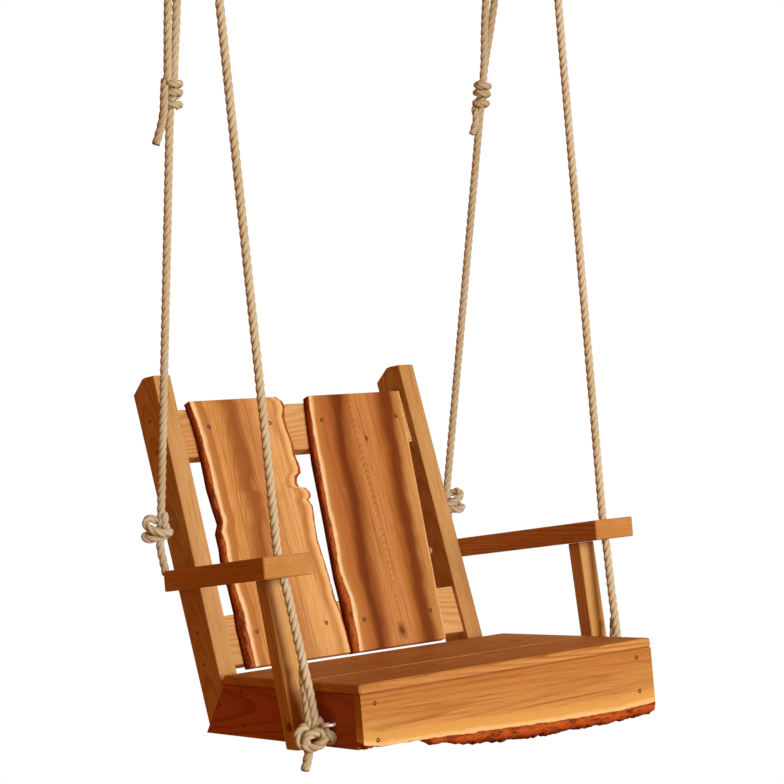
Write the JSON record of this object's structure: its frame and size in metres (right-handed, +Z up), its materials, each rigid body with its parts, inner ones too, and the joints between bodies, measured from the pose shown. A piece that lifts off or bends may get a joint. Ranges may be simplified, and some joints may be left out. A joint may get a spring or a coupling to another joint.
{
  "type": "porch swing",
  "caption": "Rope-hung wooden porch swing: live-edge back slats on a reclined frame, slatted seat, flat arms on leaning posts, ropes tied to eye bolts and ceiling eyes.",
  "frame": {"origin": "on the ceiling, midway between the four ceiling eyes", "axes": "+Z up, +Y from the swing's front to its back, +X to the right of someone who faces the swing's front"},
  "size_m": [0.8512, 0.7852, 1.5655],
  "materials": {
    "frame_wood": "oiled, satin",
    "seat_wood": "oiled, satin",
    "live_edge_wood": "oiled, satin, bark left on the edge",
    "rope": "three-strand natural fibre",
    "fastener_steel": "zinc plated",
    "ceiling_steel": "zinc plated"
  },
  "bodies": {
    "root": {"ceiling_eye_front_left": "ceiling_steel", "ceiling_eye_front_right": "ceiling_steel", "ceiling_eye_back_left": "ceiling_steel", "ceiling_eye_back_right": "ceiling_steel"},
    "front_ropes": {"front_rope_left": "rope", "front_rope_right": "rope", "front_rope_loop_left": "rope", "front_rope_loop_right": "rope", "front_rope_top_knot_left": "rope", "front_rope_top_knot_right": "rope"},
    "seat": {"seat_slat_front": "seat_wood", "seat_slat_rear": "seat_wood", "front_board": "live_edge_wood", "side_board_left": "frame_wood", "side_board_right": "frame_wood", "rear_seat_rail": "frame_wood", "middle_bearer": "frame_wood", "upright_left": "frame_wood", "upright_right": "frame_wood", "top_back_rail": "frame_wood", "bottom_back_rail": "frame_wood", "back_slat_left": "live_edge_wood", "back_slat_right": "live_edge_wood", "arm_left": "frame_wood", "arm_right": "frame_wood", "arm_post_left": "frame_wood", "arm_post_right": "frame_wood", "back_eye_bolt_left": "fastener_steel", "back_eye_bolt_right": "fastener_steel", "front_eye_bolt_left": "fastener_steel", "front_eye_bolt_right": "fastener_steel", "back_eye_nut_left": "fastener_steel", "back_eye_nut_right": "fastener_steel", "front_eye_nut_left": "fastener_steel", "front_eye_nut_right": "fastener_steel", "arm_bolt_left": "fastener_steel", "arm_bolt_right": "fastener_steel", "post_lag_left": "fastener_steel", "post_lag_right": "fastener_steel", "back_slat_screw_left_1": "fastener_steel", "back_slat_screw_left_2": "fastener_steel", "back_slat_screw_left_3": "fastener_steel", "back_slat_screw_left_4": "fastener_steel", "back_slat_screw_right_1": "fastener_steel", "back_slat_screw_right_2": "fastener_steel", "back_slat_screw_right_3": "fastener_steel", "back_slat_screw_right_4": "fastener_steel", "front_rope_lower_left": "rope", "front_rope_lower_right": "rope", "front_rope_knot_left": "rope", "front_rope_knot_right": "rope"},
    "back_ropes": {"back_rope_left": "rope", "back_rope_right": "rope", "back_rope_hitch_left": "rope", "back_rope_hitch_right": "rope", "back_rope_loop_left": "rope", "back_rope_loop_right": "rope", "back_rope_knot_left": "rope", "back_rope_knot_right": "rope"}
  },
  "joints": [
    {"name": "front_rope_swing", "type": "hinge", "parent": "root", "child": "front_ropes", "pos_m": [0, -0.07663, -0.055], "axis": [1, 0, 0], "range_deg": [-18, 18]},
    {"name": "seat_on_front_ropes", "type": "hinge", "parent": "front_ropes", "child": "seat", "pos_m": [0, -0.22474, -1.18813], "axis": [1, 0, 0], "range_deg": [-6.3, 6.3]},
    {"name": "back_rope_swing", "type": "hinge", "parent": "root", "child": "back_ropes", "pos_m": [0, 0.07663, -0.055], "axis": [1, 0, 0], "range_deg": [-18.5, 18.5]}
  ],
  "couplings": [
    {"joint": "seat_on_front_ropes", "follows": "front_rope_swing", "ratio": -0.3397},
    {"joint": "back_rope_swing", "follows": "front_rope_swing", "ratio": 1.0033}
  ]
}
